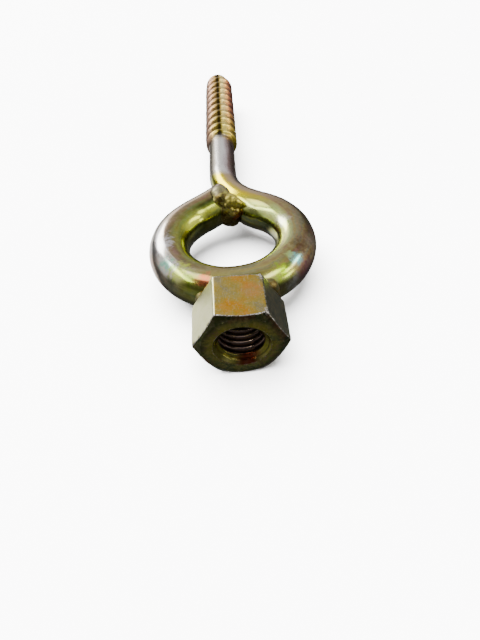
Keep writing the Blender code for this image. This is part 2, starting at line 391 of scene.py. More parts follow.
class RidgedSweep:
    """Node tree that sweeps a round bar along a path and rolls a screw ridge on it."""

    INPUTS = (("Path", "NodeSocketGeometry"), ("Sides", "NodeSocketInt"), ("Ridge Height", "NodeSocketFloat"),
              ("Crest", "NodeSocketFloat"), ("Flank", "NodeSocketFloat"), ("Finish", "NodeSocketMaterial"))
    # What stands at each station: centre and heading by three, and a number for each of the others.
    STATION = ("centre", "heading", "bar_radius", "least_radius", "turns", "swell", "along")

    def __init__(self) -> None:
        """Build the tree."""
        group = bpy.data.node_groups.new("ridged_sweep", "GeometryNodeTree")
        self.sockets = {label: group.interface.new_socket(name=label, in_out="INPUT", socket_type=kind)
                        for label, kind in self.INPUTS}
        group.interface.new_socket(name="Geometry", in_out="OUTPUT", socket_type="NodeSocketGeometry")
        tree = Tree(group)
        given = tree.add("NodeGroupInput")
        path = tree.add("GeometryNodeMeshToCurve", values={"Mesh": given.output("Path")})
        circle = tree.add("GeometryNodeCurvePrimitiveCircle",
                          values={"Resolution": given.output("Sides"), "Radius": MM}, output="Curve")
        share = tree.add("GeometryNodeSplineParameter", output="Factor")
        circle = self._store(tree, circle, "around", share * TURN)
        body = tree.add("GeometryNodeCurveToMesh", values={"Curve": path, "Profile Curve": circle}, output="Mesh")

        centre, heading = (self._read(tree, label, "FLOAT_VECTOR") for label in self.STATION[:2])
        around, radius, least, turns, swell = (self._read(tree, label) for label in ("around", *self.STATION[2:6]))
        crest, flank = given.output("Crest"), given.output("Flank")
        phase = (turns + around / TURN).call("FLOORED_MODULO", 1.0)
        ridge = tree.between(abs(phase - 0.5), crest * 0.5 + flank, crest * 0.5)
        reach = (radius + ridge * swell * given.output("Ridge Height")).call("MAXIMUM", least)
        side = tree.vector("NORMALIZE", tree.vector("CROSS_PRODUCT", heading, tuple(UP)))
        lean = tree.vector("ADD", tree.scaled(side, around.call("SINE")),
                           tree.add("ShaderNodeCombineXYZ", values={"Z": around.call("COSINE")}))
        spot = tree.vector("ADD", centre, tree.scaled(lean, reach))
        body = tree.add("GeometryNodeSetPosition", values={"Geometry": body, "Position": spot})
        body = self._store(tree, body, "ridge", ridge * swell)
        body = tree.add("GeometryNodeSetShadeSmooth", values={0: body})
        body = tree.add("GeometryNodeRealizeInstances", values={0: body})
        body = tree.add("GeometryNodeSetMaterial", values={"Geometry": body, "Material": given.output("Finish")})
        tree.add("NodeGroupOutput", values={0: body})
        self.group = group

    @staticmethod
    def _store(tree: Tree, body: Signal, name: str, value: Signal) -> Signal:
        """Store a number on every point under a name."""
        return tree.add("GeometryNodeStoreNamedAttribute", {"data_type": "FLOAT", "domain": "POINT"},
                        {"Geometry": body, "Name": name, "Value": value})

    @staticmethod
    def _read(tree: Tree, name: str, kind: str = "FLOAT") -> Signal:
        """Read a named attribute of every point."""
        return tree.add("GeometryNodeInputNamedAttribute", {"data_type": kind}, {"Name": name}, output="Attribute")

    def rings(self, name: str, stations: dict[str, Array], finish: bpy.types.Material,
              sides: int, height: float, crest: float, flank: float) -> dict[str, Array]:
        """Sweep along stations and return the rings.

        Args:
            name: Name for the carrier.
            stations: Everything in STATION, with a row for each station.
            finish: Material for the swept mesh.
            sides: Points round the bar.
            height: Height of the screw ridge; negative for a groove.
            crest: Width of the ridge's crest, as a share of the pitch.
            flank: Width of each flank, as a share of the pitch.

        Returns:
            "points", "around", "along" and "ridge", each as rings by points.
        """
        count = len(stations["along"])
        path = bpy.data.meshes.new(name)
        path.from_pydata(stations["centre"].tolist(), [(k, k + 1) for k in range(count - 1)], [])
        for label, values in stations.items():
            mark(path, label, values)
        carrier = linked(name, path)
        sweep = carrier.modifiers.new("ridged_sweep", "NODES")
        sweep.node_group = self.group
        chosen = {"Sides": sides, "Ridge Height": height, "Crest": crest, "Flank": flank, "Finish": finish}
        for label, value in chosen.items():
            sweep[self.sockets[label].identifier] = value
        swept = settled(carrier)
        found = {"points": np.zeros(len(swept.vertices) * 3, np.float32)}
        swept.vertices.foreach_get("co", found["points"])
        for label in ("around", "along", "ridge"):
            found[label] = np.zeros(len(swept.vertices), np.float32)
            swept.attributes[label].data.foreach_get("value", found[label])
        found["points"] = found["points"].reshape(-1, 3)
        order = np.lexsort((found["around"], found["along"]))
        bpy.data.meshes.remove(swept)
        return {label: values[order].astype(float).reshape(count, sides, *values.shape[1:])
                for label, values in found.items()}


# ---- Finishes ------------------------------------------------------------
class Zone(Enum):
    """Stretches of the bar whose plating colours and painted highlights and shade differ."""

    LEFT = "left of the eye"
    ARM = "free end's side of the eye"
    RIGHT = "right of the eye"
    FRONT = "front of the eye"
    NECK = "neck"
    SHANK = "plain shank"


class Finish(ABC):
    """A metal finish; each kind says how its colour, roughness and grain vary."""

    name: str
    # Scale per metre, detail, roughness and distortion of each noise.
    grains: tuple[tuple[float, ...], ...]
    # How strongly the grain shows, and its depth in millimetres.
    relief: tuple[float, float]
    saturation = 1.06

    @abstractmethod
    def surface(self, tree: Tree, spot: Signal, *grains: Signal) -> tuple[Signal, Signal, Signal]:
        """Colour, roughness and height of the grain.

        Args:
            tree: The material's tree.
            spot: The place on the object.
            grains: The finish's noises there.

        Returns:
            The three, in that order.
        """

    def build(self) -> bpy.types.Material:
        """Write the material.

        Returns:
            The material.
        """
        material, tree, shader = new_material(self.name)
        shader.inputs["Metallic"].default_value = 1.0
        spot = tree.add("ShaderNodeTexCoord", output="Object")
        colour, roughness, height = self.surface(tree, spot, *(tree.noise(spot, *grain) for grain in self.grains))
        colour = tree.add("ShaderNodeHueSaturation",
                          values={"Saturation": self.saturation, "Value": 1.0, "Color": colour})
        strength, depth = self.relief
        normal = tree.add("ShaderNodeBump", values={"Strength": strength, "Distance": depth * MM, "Height": height})
        for label, signal in (("Base Color", colour), ("Roughness", roughness), ("Normal", normal)):
            tree.group.links.new(signal.socket, shader.inputs[label])
        return material


@dataclass(frozen=True)
class BarPlating(Finish):
    """Yellow passivated zinc on the bent bar."""

    eye_y: float
    eye_r: float
    bar_r: float
    thread_start: float
    name: str = "bar_plating"
    roughness: float = 0.19
    relief: tuple[float, float] = (0.18, 0.04)
    # The clouds, the fine grain, the specks and the blots of colour.
    grains: tuple[Point, ...] = ((170.0, 3.0, 0.55), (900.0, 4.0, 0.6), (3200.0, 2.0, 0.5), (620.0, 4.0, 0.65))
    # Streaks drawn out along the bar: their noise, and how much slower it runs that way.
    streaks: Point = (620.0, 4.0, 0.6)
    drawn_out: float = 0.16
    # Share of a patch's reach that is evenly coloured, and how ragged its edge is for its reach.
    patch_core: float = 0.15
    patch_ragged: float = 2.2
    # Colour round the bar's section, part plating tint and part painted light: the white and pale stops are painted
    # highlights, the dark olive stops low on the inside are painted shade; 0.25 is outside the eye, 0.5 on top, 0.75
    # inside.
    tint_and_light_bands: dict[Zone, Stops] = field(default_factory=lambda: {
        Zone.LEFT: ((0.0, "44441c"), (0.2, "847464"), (0.3, "b8a094"), (0.38, "d8d0d0"), (0.44, "f6f2f4"),
                    (0.475, "e0d4d0"), (0.5, "94746a"), (0.53, "705840"), (0.565, "8a8a3c"), (0.62, "a4ac44"),
                    (0.67, "dce04c"), (0.705, "8c9028"), (0.75, "484c18"), (1.0, "24280c")),
        Zone.ARM: ((0.0, "34341c"), (0.2, "6c5444"), (0.36, "a48c7c"), (0.455, "ccb4a4"), (0.485, "9c7c6c"),
                   (0.52, "826a50"), (0.565, "747c38"), (0.6, "8c9c34"), (0.635, "d8e040"), (0.67, "a4ac40"),
                   (0.71, "4c5418"), (1.0, "24280c")),
        Zone.RIGHT: ((0.0, "403028"), (0.2, "80504c"), (0.32, "8c6450"), (0.42, "745640"), (0.48, "7c604a"),
                     (0.525, "a4906c"), (0.56, "d4dc88"), (0.6, "e8f484"), (0.65, "ecf8a0"), (0.69, "a0a83c"),
                     (0.735, "484c18"), (1.0, "2c3010")),
        Zone.FRONT: ((0.0, "444420"), (0.2, "606434"), (0.3, "646c34"), (0.375, "d4dc60"), (0.43, "c4bc68"),
                     (0.5, "a89868"), (0.56, "907c58"), (0.68, "646034"), (0.82, "4c4c20"), (1.0, "2c3010")),
        Zone.NECK: ((0.0, "4c4820"), (0.2, "5c4430"), (0.33, "6c5030"), (0.42, "947c64"), (0.495, "ccb08c"),
                    (0.53, "e8cc50"), (0.56, "f4e010"), (0.62, "f0e008"), (0.7, "dcd414"),
                    (0.78, "8c8c34"), (1.0, "4c4820")),
        Zone.SHANK: ((0.0, "5c5046"), (0.22, "685444"), (0.33, "785c4c"), (0.41, "9c8480"), (0.46, "e0d2d4"),
                     (0.5, "fcf8f6"), (0.55, "f4f0ea"), (0.59, "a49c8c"), (0.64, "746c5c"), (0.85, "706454"),
                     (1.0, "5c5046")),
    })

    # Patches: places about the eye's centre and reaches in millimetres, shares and colours. Some are tints of the
    # passivation; the white, cream, teal and bright yellow-green ones are painted highlights and glints, and the dark
    # olive ones are painted shade.
    patches: tuple[tuple[Point, float, float, str], ...] = (
        ((-18.6, -3.6, 4.6), 5.0, 0.6, "f8f4f8"), ((-17.2, -3.2, 5.3), 2.6, 0.7, "f4eef0"),
        ((-15.6, -15.0, 2.4), 2.6, 0.8, "4c5430"), ((14.6, -18.6, 0.4), 4.0, 0.7, "dcdcd8"),
        ((-21.0, -6.0, 1.0), 3.4, 0.55, "dca89c"),
        ((-16.6, -10.8, 4.4), 2.6, 0.85, "84ccb0"), ((-13.2, -14.2, 4.8), 3.6, 0.85, "dcec68"),
        ((-11.2, -16.6, 4.6), 2.4, 0.7, "a0c040"), ((-7.4, -18.3, 4.6), 2.8, 0.9, "f48c68"),
        ((-14.6, -12.6, 5.0), 1.4, 0.7, "90b850"), ((-17.0, -15.0, 0.0), 4.0, 0.5, "8c9478"),
        ((15.2, -13.0, 4.2), 2.6, 0.95, "90e8e0"), ((11.4, -16.8, 4.2), 3.0, 0.95, "c4e830"),
        ((13.0, -15.4, 4.6), 1.5, 0.8, "4c5c20"), ((13.4, -12.2, 5.2), 1.6, 0.7, "d0e890"),
        ((17.6, -13.8, 1.2), 4.4, 0.8, "8c4c60"), ((19.2, -6.0, 3.6), 3.0, 0.5, "a88c80"),
        ((20.2, -2.0, 2.6), 3.4, 0.6, "9c6458"), ((17.0, -9.0, 4.8), 3.6, 0.75, "644834"),
        ((13.6, 2.6, 4.8), 3.2, 0.6, "fffce8"), ((11.0, 6.4, 4.4), 3.0, 0.6, "d4f08c"),
        ((8.4, 9.4, 4.9), 2.6, 0.6, "b8d060"), ((16.4, 5.6, 4.6), 2.8, 0.5, "94785c"),
    )

    # Colours of the thin film along the bar, and of the screw's crests from outside to inside; the pale gold stops are
    # painted highlights on the crests' sides.
    film: Stops = (
        (0.34, "c48c98"), (0.42, "c8ac78"), (0.5, "dcd880"), (0.56, "a0bc98"), (0.62, "bca878"), (0.7, "a8706c"))
    crests: Stops = (
        (0.0, "84584c"), (0.1, "a87058"), (0.2, "dca468"), (0.34, "fce498"), (0.5, "fcd87c"), (0.66, "f4c880"),
        (0.8, "dcac88"), (1.0, "c8a898"))
    # Painted shade where the weld meets the bar, a dark ring round each dome: places about the eye's centre and
    # reaches in millimetres.
    weld_toe_shade: tuple[tuple[Point, float], ...] = (
        ((-2.1, 16.9, 4.9), 2.8), ((-1.5, 15.2, 5.0), 2.7), ((0.6, 13.9, 4.9), 1.9))

    def surface(self, tree: Tree, spot: Signal, *grains: Signal) -> tuple[Signal, Signal, Signal]:
        """Bands round the bar's section with painted highlights and shade, a thin film along it, patches of tint and
        painted glints, painted shade round the weld, and the screw with its painted light.

        Args:
            tree: The material's tree.
            spot: The place on the object.
            grains: The finish's noises there.

        Returns:
            Colour, roughness and height of the grain.
        """
        cloud, fine, speck, blot = grains
        x, y, _ = tree.axes(spot)
        y = y - self.eye_y
        inner, upper, along = tree.axes(tree.attribute("section"))
        drawn = tree.add("ShaderNodeCombineXYZ",
                         values={0: along * self.drawn_out, 1: inner * self.bar_r, 2: upper * self.bar_r})
        streak = tree.noise(drawn, *self.streaks)
        tilt = inner.call("ARCTAN2", upper) / TURN + 0.5
        tilt = tilt + (cloud - 0.5) * 0.06 + (streak - 0.5) * 0.12

        right = tree.between(x, -0.35 * self.eye_r, 0.35 * self.eye_r)
        neck = (tree.between(y + abs(x) * 0.4, 0.82 * self.eye_r, 1.1 * self.eye_r)
                * tree.between(x + y * 0.2, 0.08 * self.eye_r, 0.2 * self.eye_r))
        shank = tree.between(y + (cloud - 0.5) * 2.0 * MM - inner * 1.2 * MM, 1.68 * self.eye_r, 1.92 * self.eye_r)
        shares = {Zone.ARM: tree.between(y, 0.12 * self.eye_r, 0.5 * self.eye_r), Zone.RIGHT: right,
                  Zone.FRONT: tree.between(y + abs(x) * 0.35, -0.35 * self.eye_r, -0.85 * self.eye_r),
                  Zone.NECK: neck, Zone.SHANK: shank}
        # Section bands for each zone, with painted highlights and painted shade.
        colour = tree.ramp(tilt, self.tint_and_light_bands[Zone.LEFT])
        colour = tree.layers(colour, *((share, tree.ramp(tilt, self.tint_and_light_bands[zone])) for zone, share in shares.items()))
        film = tree.ramp(streak * 0.6 + cloud * 0.4, self.film)
        colour = tree.mix(0.16 - 0.1 * shank - 0.12 * neck + 0.12 * right * (1.0 - neck), colour, film)
        colour = self._tints_and_painted_glints(tree, colour, spot, blot)
        colour = self._screw(tree, colour, y, inner, fine)
        pale = tree.mix(0.35, colour, "fff6d8")
        colour = tree.layers(colour, ((fine - 0.42) * 0.9 * (1.0 - 0.9 * neck), pale),
                             (tree.between(speck, 0.62, 0.74) * 0.35, "4a4028"))
        roughness = self.roughness + (fine - 0.5) * 0.16 + (streak - 0.5) * 0.12 + shank * 0.1
        return colour, roughness, fine * 0.7 + speck * 0.3

    def _tints_and_painted_glints(self, tree: Tree, colour: Signal, spot: Signal, blot: Signal) -> Signal:
        """Patches where the passivation shows green, blue, pink or red, some of them painted highlights, glints and
        shade, and painted shade round the weld.

        Args:
            tree: The material's tree.
            colour: The plating's colour.
            spot: The place on the object.
            blot: Noise that makes the patches ragged.

        Returns:
            The colour with its patches.
        """
        # Tints, painted highlights and glints, and painted shade, one patch at a time.
        for (x, y, z), reach, gain, code in self.patches:
            share = tree.near(spot, (x * MM, y * MM + self.eye_y, z * MM), reach, self.patch_core * reach,
                              blot, self.patch_ragged * reach)
            colour = tree.mix(share * gain, colour, code)
        # Painted shade just outside each weld dome.
        for (x, y, z), reach in self.weld_toe_shade:
            share = tree.near(spot, (x * MM, y * MM + self.eye_y, z * MM), reach + 0.4, reach + 0.1, blot, 0.5)
            colour = tree.mix(share * 0.8, colour, "2c2410")
        return colour

    def _screw(self, tree: Tree, colour: Signal, y: Signal, inner: Signal, fine: Signal) -> Signal:
        """Gold crests with painted highlights on their sides, pink on the left, brown on the right, painted shade in
        the grooves and a painted dark stripe along the top.

        Args:
            tree: The material's tree.
            colour: The plain bar's colour.
            y: Place along the bolt.
            inner: Place across the bar, from -1 to 1.
            fine: Fine noise.

        Returns:
            The colour with the screw's.
        """
        ridge = tree.attribute("ridge", "Fac")
        above = y - self.thread_start
        crest = tree.ramp(inner * 0.5 + 0.5 + (fine - 0.5) * 0.2, self.crests)
        crest = tree.mix(tree.edge(above, 26.0, 0.0) * 0.4 * tree.between(inner, 0.9, 0.3), crest, "f0ec50")
        # Painted shade in the grooves, strongest near the top.
        groove = tree.between(ridge + (fine - 0.5) * 0.3, 0.5, 0.1) * tree.between(abs(inner), 1.0, 0.2, 0.4, 0.9)
        # Painted dark stripe along the top of the screw.
        middle = tree.between(abs(inner - 0.03) + ridge * 0.07 + (fine - 0.5) * 0.12, 0.3, 0.08)
        dark = groove.call("MAXIMUM", middle * (1.0 - ridge * 0.12))
        return tree.mix(tree.edge(above, -0.6, 1.6), colour, tree.mix(dark, crest, "3c2c10"))


@dataclass(frozen=True)
class NutPlating(Finish):
    """Yellow passivated zinc on the machined nut."""

    near_y: float
    flat_r: float
    roll: float
    bore_r: float
    name: str = "nut_plating"
    roughness: float = 0.34
    relief: tuple[float, float] = (0.4, 0.05)
    # The clouds, the fine grain, the specks and the haze.
    grains: tuple[tuple[float, ...], ...] = (
        (260.0, 3.0, 0.55, 0.6), (1100.0, 4.0, 0.62), (3600.0, 2.0, 0.5), (190.0, 6.0, 0.68))
    # The end face's flat part over half the width across flats, and how steeply the chamfer falls away from it.
    face_ratio: float = 0.95
    chamfer_slope: float = 0.577
    # Warmer and cooler places on the top flat: place from the nut's mouth and reach in millimetres, gain.
    tones: tuple[tuple[tuple[float, float], float, float], ...] = (
        ((-2.6, 2.6), 4.4, 0.1), ((3.2, 7.4), 4.2, 0.1), ((0.4, 12.4), 4.0, 0.07),
        ((-2.6, 9.6), 4.2, -0.1), ((5.0, 2.4), 3.0, -0.1), ((-4.6, 13.0), 3.0, -0.08))
    # Place on the top flat that turns reddish, most along the scratches, from the nut's mouth in millimetres.
    reddish_place: Point = (3.4, 7.6, 9.4)

    def surface(self, tree: Tree, spot: Signal, *grains: Signal) -> tuple[Signal, Signal, Signal]:
        """A colour for each flat, the left flat pale as painted light and the right flat dark as painted shade, the
        end face, the countersink and the thread, with worn edges.

        Args:
            tree: The material's tree.
            spot: The place on the object.
            grains: The finish's noises there.

        Returns:
            Colour, roughness and height of the grain.
        """
        cloud, fine, speck, haze = grains
        x, y, z = tree.axes(spot)
        wear, thread = (tree.attribute(name, "Fac") for name in ("wear", "ridge"))
        lengthwise = tree.add("ShaderNodeMapping", {"vector_type": "POINT"},
                              {"Vector": spot, "Rotation": (0.0, 0.0, 0.35), "Scale": (2600.0, 420.0, 420.0)})
        scratch = tree.between(tree.noise(lengthwise, 1.0, 2.0, 0.6), 0.6, 0.72)
        mottle = cloud * 0.6 + fine * 0.4
        radius = (x * x + z * z).call("SQRT")
        depth, lip = y - self.near_y, radius - self.bore_r

        colour = tree.ramp(cloud, ((0.3, "78744c"), (0.6, "a49c68")))
        # Colour for each flat: the top flat ochre, the left flat pale cream as painted light, the right flat dark
        # grey-olive as painted shade.
        faces = ((0.0, self._top(tree, spot, fine, speck, haze, scratch)),
                 (-math.pi / 3, tree.ramp(mottle, ((0.3, "d8d894"), (0.5, "ecebb0"), (0.7, "f6f2c4")))),
                 (math.pi / 3, tree.ramp(mottle, ((0.3, "5c604c"), (0.5, "74745c"), (0.7, "8c8468")))))
        for turn, face in faces:
            angle = self.roll + turn
            reach = x * math.sin(angle) + z * math.cos(angle) - self.flat_r
            colour = tree.mix(tree.edge(reach, -0.25, -0.12), colour, face)
        slope = (radius - self.face_ratio * self.flat_r).call("MAXIMUM", 0.0) * self.chamfer_slope
        end = self._end(tree, radius, lip, z, cloud, fine, haze)
        place = x + (cloud - 0.5) * 4.0 * MM
        rust = tree.mix(tree.edge(place, -2.4, 0.6) * tree.edge(place, 4.6, 2.0), "949050", "944834")
        sink = tree.mix(tree.edge(z, -2.0, -4.4), "8c8a3c", rust)
        chip = tree.mix(tree.between(speck, 0.42, 0.56), "7c705c", "f6f2ea")
        colour = tree.layers(colour, (tree.edge(depth - slope, 0.12, 0.02), end),
                             # Painted shade in the bore: near-black in the thread grooves, lighter on the thread's
                             # crests.
                             (tree.edge(lip, 0.5, 0.35), tree.mix(thread, "140c0c", "9c8880")),
                             (tree.edge(depth, 2.3, 1.9) * tree.edge(lip, 0.55, 0.4), sink),
                             (tree.between(wear + (fine - 0.5) * 0.9, 0.45, 0.8), chip))
        colour = tree.layers(colour, ((fine - 0.45) * 1.2, tree.mix(0.3, colour, "fff2cc")),
                             (tree.between(speck, 0.63, 0.76) * 0.4, "3c3420"))
        roughness = self.roughness + (fine - 0.5) * 0.2 - wear * 0.06 - tree.edge(lip, 0.5, 0.3) * 0.12
        return colour, roughness, fine * 0.6 + speck * 0.4 - scratch * 0.3

    def _top(self, tree: Tree, spot: Signal, fine: Signal, speck: Signal, haze: Signal, scratch: Signal) -> Signal:
        """Ochre and olive haze on the top flat, scratched, with one place that turns reddish.

        Args:
            tree: The material's tree.
            spot: The place on the object.
            fine: Fine noise.
            speck: The finest noise.
            haze: Broad noise.
            scratch: Where the scratches are.

        Returns:
            The top flat's colour.
        """
        warm = haze
        for (across, down), reach, gain in self.tones:
            warm = warm + tree.near(spot, (across * MM, self.near_y + down * MM, self.flat_r), reach, 0.0) * gain
        top = tree.ramp(warm + (fine - 0.5) * 0.2, ((0.36, "a0946c"), (0.46, "b09c54"), (0.54, "bc9c48"),
                                                    (0.66, "cc963c"), (0.8, "cc8834")))
        across, down, up = self.reddish_place
        reddish_place = tree.near(spot, (across * MM, self.near_y + down * MM, up * MM), 3.2, 1.2, fine, 3.0)
        return tree.layers(top, (scratch * 0.3, "e8dcc0"), (tree.between(speck, 0.56, 0.68) * 0.3, "f0e6cc"),
                           (reddish_place * (0.25 + scratch * 0.6), "e09c80"))

    @staticmethod
    def _end(tree: Tree, radius: Signal, lip: Signal, z: Signal, cloud: Signal, fine: Signal,
             haze: Signal) -> Signal:
        """Green and brown end face, its darkness partly plating tint and partly painted shade, darker at its rim and
        yellower round the bore.

        Args:
            tree: The material's tree.
            radius: Distance from the nut's axis.
            lip: Distance outside the bore.
            z: Height.
            cloud: Clouded noise.
            fine: Fine noise.
            haze: Broad noise.

        Returns:
            The end face's colour.
        """
        # The end face's dark colours are partly plating tint and partly painted shade.
        end = tree.ramp(cloud * 0.55 + fine * 0.45, ((0.3, "4c5844"), (0.42, "707c54"), (0.52, "989858"),
                                                     (0.6, "8c7c54"), (0.7, "7c4838")))
        rim = tree.edge(radius, 7.0, 9.4, cloud, 3.0)
        end = tree.mix(rim * 0.75, end, tree.mix(tree.between(haze, 0.5, 0.62), "38442c", "744438"))
        halo = (tree.edge(lip, 3.2, 0.6, cloud, 3.0) * tree.between(z, -7.0 * MM, 5.0 * MM, 0.1, 0.85)
                * tree.between(haze, 0.66, 0.42, 0.3, 1.0))
        return tree.mix(halo, end, "b0a444")


@dataclass(frozen=True)
class WeldMetal(Finish):
    """Spattered weld bead, plated over with the rest.

    Its warm, bright and dull places are far from the bead unless they are given.
    """

    name: str
    warm: Point = FAR_OFF
    bright: Point = FAR_OFF
    dull: Point = FAR_OFF
    pale: str = "cfc878"
    roughness: float = 0.36
    relief: tuple[float, float] = (0.2, 0.02)
    grains: tuple[Point, ...] = ((420.0, 4.0, 0.6), (1500.0, 3.0, 0.5), (4200.0, 2.0, 0.5))

    def surface(self, tree: Tree, spot: Signal, *grains: Signal) -> tuple[Signal, Signal, Signal]:
        """Clouded gold, painted dark underneath as shade, with a warm, a bright and a dull place; the dull grey place
        is a painted reflection.

        Args:
            tree: The material's tree.
            spot: The place on the object.
            grains: The finish's noises there.

        Returns:
            Colour, roughness and height of the grain.
        """
        cloud, fine, speck = grains
        _, _, z = tree.axes(spot)
        colour = tree.ramp(cloud * 0.7 + fine * 0.3, ((0.32, "5c4c28"), (0.44, "8c7c4c"), (0.54, self.pale),
                                                      (0.62, "a88c58"), (0.74, "74502c")))
        colour = tree.layers(
            # Painted shade on the bead's lower part.
            colour, (tree.edge(z, 3.2, 0.4, cloud, 3.0) * 0.88, "3c2c0c"),
            (tree.near(spot, self.bright, 3.4, 1.2, cloud, 3.0) * 0.7, "ece074"),
            # Grey on the dome's top: painted reflection.
            (tree.near(spot, self.dull, 3.4, 1.6, cloud, 2.0) * 0.7, "989480"),
            (tree.near(spot, self.warm, 2.3, 0.5, fine, 1.6) * 0.85, "a8601c"),
            (tree.between(speck, 0.62, 0.74) * 0.3, "fff3d0"))
        return colour, self.roughness + (fine - 0.5) * 0.2, fine * 0.7 + speck * 0.3


# ---- The bar -------------------------------------------------------------
@dataclass
class EyeBar:
    """One bent bar: screw, shank, neck, eye and free end."""

    eye: Array
    bar_r: float = 5.4 * MM
    eye_r: float = 16.9 * MM
    shank_r: float = 4.3 * MM
    crest_r: float = 5.6 * MM
    root_r: float = 4.05 * MM
    pitch: float = 5.4 * MM
    thread_start: float = 54.5 * MM
    thread_end: float = 110.3 * MM
    shank_offset: float = -0.95 * MM
    lean: float = math.radians(1.2)
    neck_top: float = 36.0 * MM
    join: float = math.radians(57.0)
    close: float = math.radians(119.0)
    close_length: float = 8.8 * MM
    close_rise: float = 1.8 * MM
    rise_length: float = 14.0 * MM
    tip_round: float = 0.9 * MM
    end_round: float = 1.3 * MM
    gap: float = 0.06 * MM
    sides: int = 96
    # Stations: their step along the screw, and how many stand on each other stretch and on the rounded end.
    row_step: float = 0.24 * MM
    shank_rows: int = 18
    neck_rows: int = 36
    eye_rows: int = 170
    end_rows: int = 21
    cap_rows: int = 6

    @property
    def down(self) -> Array:
        """Direction from the screw's tip towards the eye."""
        return -np.array([math.sin(self.lean), math.cos(self.lean), 0.0])

    def shank_point(self, y: Array | float) -> Array:
        """Points on the shank's axis, at heights above the eye's centre.

        Args:
            y: The heights.

        Returns:
            A point for each height.
        """
        y = np.asarray(y, float)
        x = self.shank_offset + (y - self.neck_top) * math.tan(self.lean)
        return np.stack([x, y, np.zeros_like(y)], axis=-1)

    def eye_point(self, angle: Array | float) -> Array:
        """Points on the middle line of the eye."""
        angle = np.asarray(angle, float)
        return np.stack([np.cos(angle), np.sin(angle), np.zeros_like(angle)], axis=-1) * self.eye_r

    @staticmethod
    def eye_heading(angle: Array | float) -> Array:
        """Direction of travel round the eye, clockwise from above."""
        angle = np.asarray(angle, float)
        return np.stack([np.sin(angle), -np.cos(angle), np.zeros_like(angle)], axis=-1)

    def rise(self, to_end: Array) -> Array:
        """Height of the middle line, at lengths before the free end."""
        return self.close_rise * np.clip(1.0 - to_end / self.rise_length, 0.0, None)[..., None] ** 2 * UP

    def free_end(self, length: Array | float) -> Array:
        """Points on the middle line of the straight free end.

        Args:
            length: Distances from where the bend stops.

        Returns:
            A point for each distance.
        """
        length = np.asarray(length, float)
        return (self.eye_point(self.close) + self.eye_heading(self.close) * length[..., None]
                + self.rise(self.close_length - length))

    def neck(self, count: int) -> tuple[Array, Array, Array]:
        """The neck's middle line.

        Args:
            count: Number of stations.

        Returns:
            Points, headings and radii.
        """
        t = np.linspace(0.0, 1.0, count)[:, None]
        start, end = self.shank_point(self.neck_top), self.eye_point(self.join)
        reach = np.linalg.norm(end - start)
        down = self.down * reach
        arrive = self.eye_heading(self.join) * reach
        points = (start * (2 * t**3 - 3 * t**2 + 1) + down * (t**3 - 2 * t**2 + t)
                  + end * (3 * t**2 - 2 * t**3) + arrive * (t**3 - t**2))
        slopes = (start * (6 * t**2 - 6 * t) + down * (3 * t**2 - 4 * t + 1)
                  + end * (6 * t - 6 * t**2) + arrive * (3 * t**2 - 2 * t))
        radii = self.shank_r + (self.bar_r - self.shank_r) * smooth_step((t[:, 0] - 0.3) / 0.7)
        return points, unit(slopes), radii

    def stations(self) -> dict[str, Array]:
        """Everything the sweep needs at each station, from the screw's tip to the free end.

        Returns:
            A row for each station of everything that RidgedSweep.STATION names.
        """
        tip = self.thread_end - self.tip_round * (1 - np.cos(np.linspace(0.12, math.pi / 2, 9)))
        rows = round((tip[-1] - self.thread_start) / self.row_step)
        y = np.concatenate([tip, np.linspace(tip[-1], self.thread_start, rows + 1)[1:],
                            np.linspace(self.thread_start, self.neck_top, self.shank_rows)[1:-1]])
        into = smooth_step((y - self.thread_start) / (0.4 * self.pitch))
        out = smooth_step((self.thread_end - y) / (0.6 * self.pitch))
        over = np.clip((y - self.thread_end + self.tip_round) / self.tip_round, 0.0, 1.0)
        shank_r = (self.shank_r + (self.root_r - self.shank_r) * into
                   - self.tip_round * (1 - np.sqrt(1 - over**2)))
        swell = into * (0.8 + 0.2 * out)
        points, headings, radii = self.neck(self.neck_rows)
        sweep = np.linspace(self.join, self.close - TURN, self.eye_rows)[1:]
        to_end = self.close_length + self.eye_r * (sweep - self.close + TURN)
        straight = np.linspace(0.0, self.close_length, self.end_rows + 1)[1:]
        centre = np.vstack([self.shank_point(y), points, self.eye_point(sweep) + self.rise(to_end),
                            self.free_end(straight)])
        heading = np.vstack([np.tile(self.down, (len(y), 1)), headings, self.eye_heading(sweep),
                             np.tile(self.eye_heading(self.close), (len(straight), 1))])
        radius = np.concatenate([shank_r, radii, np.full(len(sweep) + len(straight), self.bar_r)])
        plain = np.zeros(len(radius) - len(y))
        steps = np.linalg.norm(np.diff(centre, axis=0), axis=1)
        return {"centre": centre + self.eye, "heading": heading, "bar_radius": radius,
                "least_radius": np.zeros(len(radius)), "turns": np.concatenate([y / self.pitch, plain]),
                "swell": np.concatenate([swell, plain]), "along": np.concatenate([[0.0], np.cumsum(steps)])}

    def clear_of_neck(self, points: Array) -> Array:
        """Distance from points, about the eye's centre, to the surface of the neck's side of the bar.

        Args:
            points: The points.

        Returns:
            A distance for each point.
        """
        neck, _, radii = self.neck(24)
        arc = np.linspace(self.join, 0.1, 24)[1:]
        line = np.vstack([self.shank_point(np.linspace(self.neck_top + 8 * MM, self.neck_top + MM, 4)), neck,
                          self.eye_point(arc)])
        radii = np.concatenate([np.full(4, self.shank_r), radii, np.full(len(arc), self.bar_r)])
        best = np.full(points.shape[:-1], np.inf)
        for a, b, ra, rb in zip(line, line[1:], radii, radii[1:]):
            span = b - a
            t = np.clip((points - a) @ span / (span @ span), 0.0, 1.0)
            gap = np.linalg.norm(points - a - t[..., None] * span, axis=-1) - (ra + (rb - ra) * t)
            best = np.minimum(best, gap)
        return best

